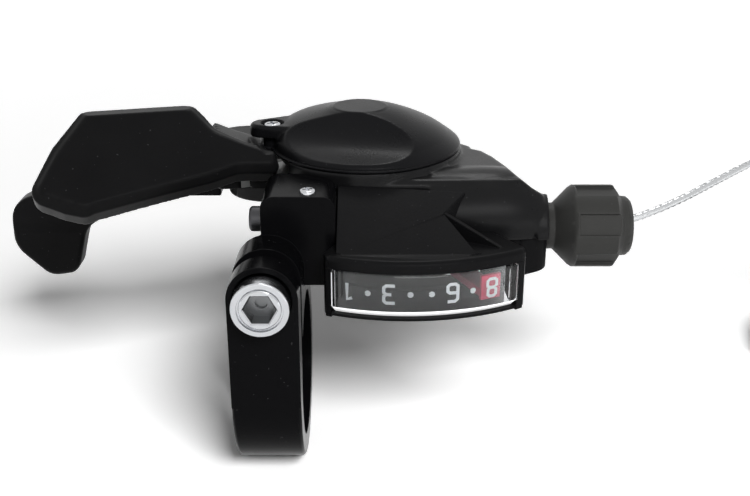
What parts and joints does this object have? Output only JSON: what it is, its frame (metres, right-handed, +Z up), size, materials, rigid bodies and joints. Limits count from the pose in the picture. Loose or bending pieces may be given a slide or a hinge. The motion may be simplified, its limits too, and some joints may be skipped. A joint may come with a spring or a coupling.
{
  "type": "trigger gear shifter",
  "caption": "Trigger gear shifter for a flat handlebar: ring clamp, domed housing, thumb paddle, finger trigger, gear display with red pointer, cable adjuster and inner wire.",
  "frame": {"origin": "centre of the handlebar clamp's bore", "axes": "+X along the handlebar towards the cable exit, +Y away from the rider, +Z up with the shifter standing on its clamp ring, as in the picture"},
  "size_m": [0.1646, 0.0604, 0.0511],
  "materials": {
    "painted_casting": "gloss",
    "bright_bolt": "polished",
    "dark_screw": "blackened",
    "steel": "plated",
    "spring_steel": "satin",
    "black_plastic": "satin",
    "cover_plastic": "satin",
    "lever_plastic": "satin",
    "reel_plastic": "natural",
    "red_plastic": "gloss",
    "clear_plastic": "clear",
    "dial_grey": "matte",
    "wire_steel": "bright",
    "tie_plastic": "matte"
  },
  "bodies": {
    "shifter_body": {"handlebar_clamp": "painted_casting", "clamp_bolt": "bright_bolt", "post_screw": "dark_screw", "lock_screw": "dark_screw", "lower_housing": "black_plastic", "upper_housing": "black_plastic", "upper_plate": "steel", "top_cover": "cover_plastic", "cover_screw": "bright_bolt", "main_shaft": "steel", "shaft_nut": "steel", "spacer_washer": "steel", "lever_washer": "steel", "thumb_spring": "spring_steel", "reel_spring": "spring_steel", "release_pin": "steel", "release_spring": "spring_steel", "pointer_pin": "steel", "display_housing": "black_plastic", "display_lens": "clear_plastic", "dial_plate": "dial_grey", "adjuster_sleeve": "steel", "cable_core": "wire_steel", "cable_run": "wire_steel", "cable_coil": "wire_steel", "coil_tie": "tie_plastic"},
    "thumb_lever": {"thumb_lever_plate": "steel", "thumb_paddle": "lever_plastic", "feed_pawl_pin": "steel"},
    "feed_pawl": {"feed_pawl": "steel"},
    "reel": {"cable_reel": "reel_plastic", "ratchet_plate": "steel", "cable_head": "wire_steel"},
    "pointer": {"pointer": "red_plastic"},
    "release_lever": {"release_lever_plate": "steel", "release_trigger": "lever_plastic"},
    "hold_pawl": {"hold_pawl": "steel"},
    "adjuster": {"adjuster_knob": "black_plastic"}
  },
  "joints": [
    {"name": "thumb_lever_pivot", "type": "hinge", "parent": "shifter_body", "child": "thumb_lever", "pos_m": [0.014, 0.0205, 0.0246], "axis": [0, 0, -1], "range_deg": [0, 42], "stiffness_Nm_per_rad": 0.04, "deforming": ["thumb_spring"]},
    {"name": "feed_pawl_pivot", "type": "hinge", "parent": "thumb_lever", "child": "feed_pawl", "pos_m": [0.01108, 0.00958, 0.022], "axis": [0, 0, -1], "range_deg": [0, 10], "stiffness_Nm_per_rad": 0.0001},
    {"name": "reel_turn", "type": "hinge", "parent": "shifter_body", "child": "reel", "pos_m": [0.014, 0.0205, 0.019], "axis": [0, 0, -1], "range_deg": [0, 98], "deforming": ["reel_spring", "cable_core"]},
    {"name": "pointer_swing", "type": "hinge", "parent": "shifter_body", "child": "pointer", "pos_m": [0.0202, 0.0215, 0.0139], "axis": [0, 0, -1], "range_deg": [0, 41.8]},
    {"name": "release_lever_pivot", "type": "hinge", "parent": "shifter_body", "child": "release_lever", "pos_m": [-0.0025, 0.0275, 0.0201], "axis": [0, 0, 1], "range_deg": [0, 9], "stiffness_Nm_per_rad": 0.03, "deforming": ["release_spring"]},
    {"name": "hold_pawl_pivot", "type": "hinge", "parent": "shifter_body", "child": "hold_pawl", "pos_m": [-0.0025, 0.0275, 0.022], "axis": [0, 0, 1], "range_deg": [0, 9]},
    {"name": "adjuster_turn", "type": "hinge", "parent": "shifter_body", "child": "adjuster", "pos_m": [0.048, 0.00904, 0.019], "axis": [1, 0, 0], "range_deg": [-720, 720]}
  ],
  "couplings": [
    {"joint": "pointer_swing", "follows": "reel_turn", "ratio": 0.42618},
    {"joint": "hold_pawl_pivot", "follows": "release_lever_pivot", "ratio": 1}
  ]
}
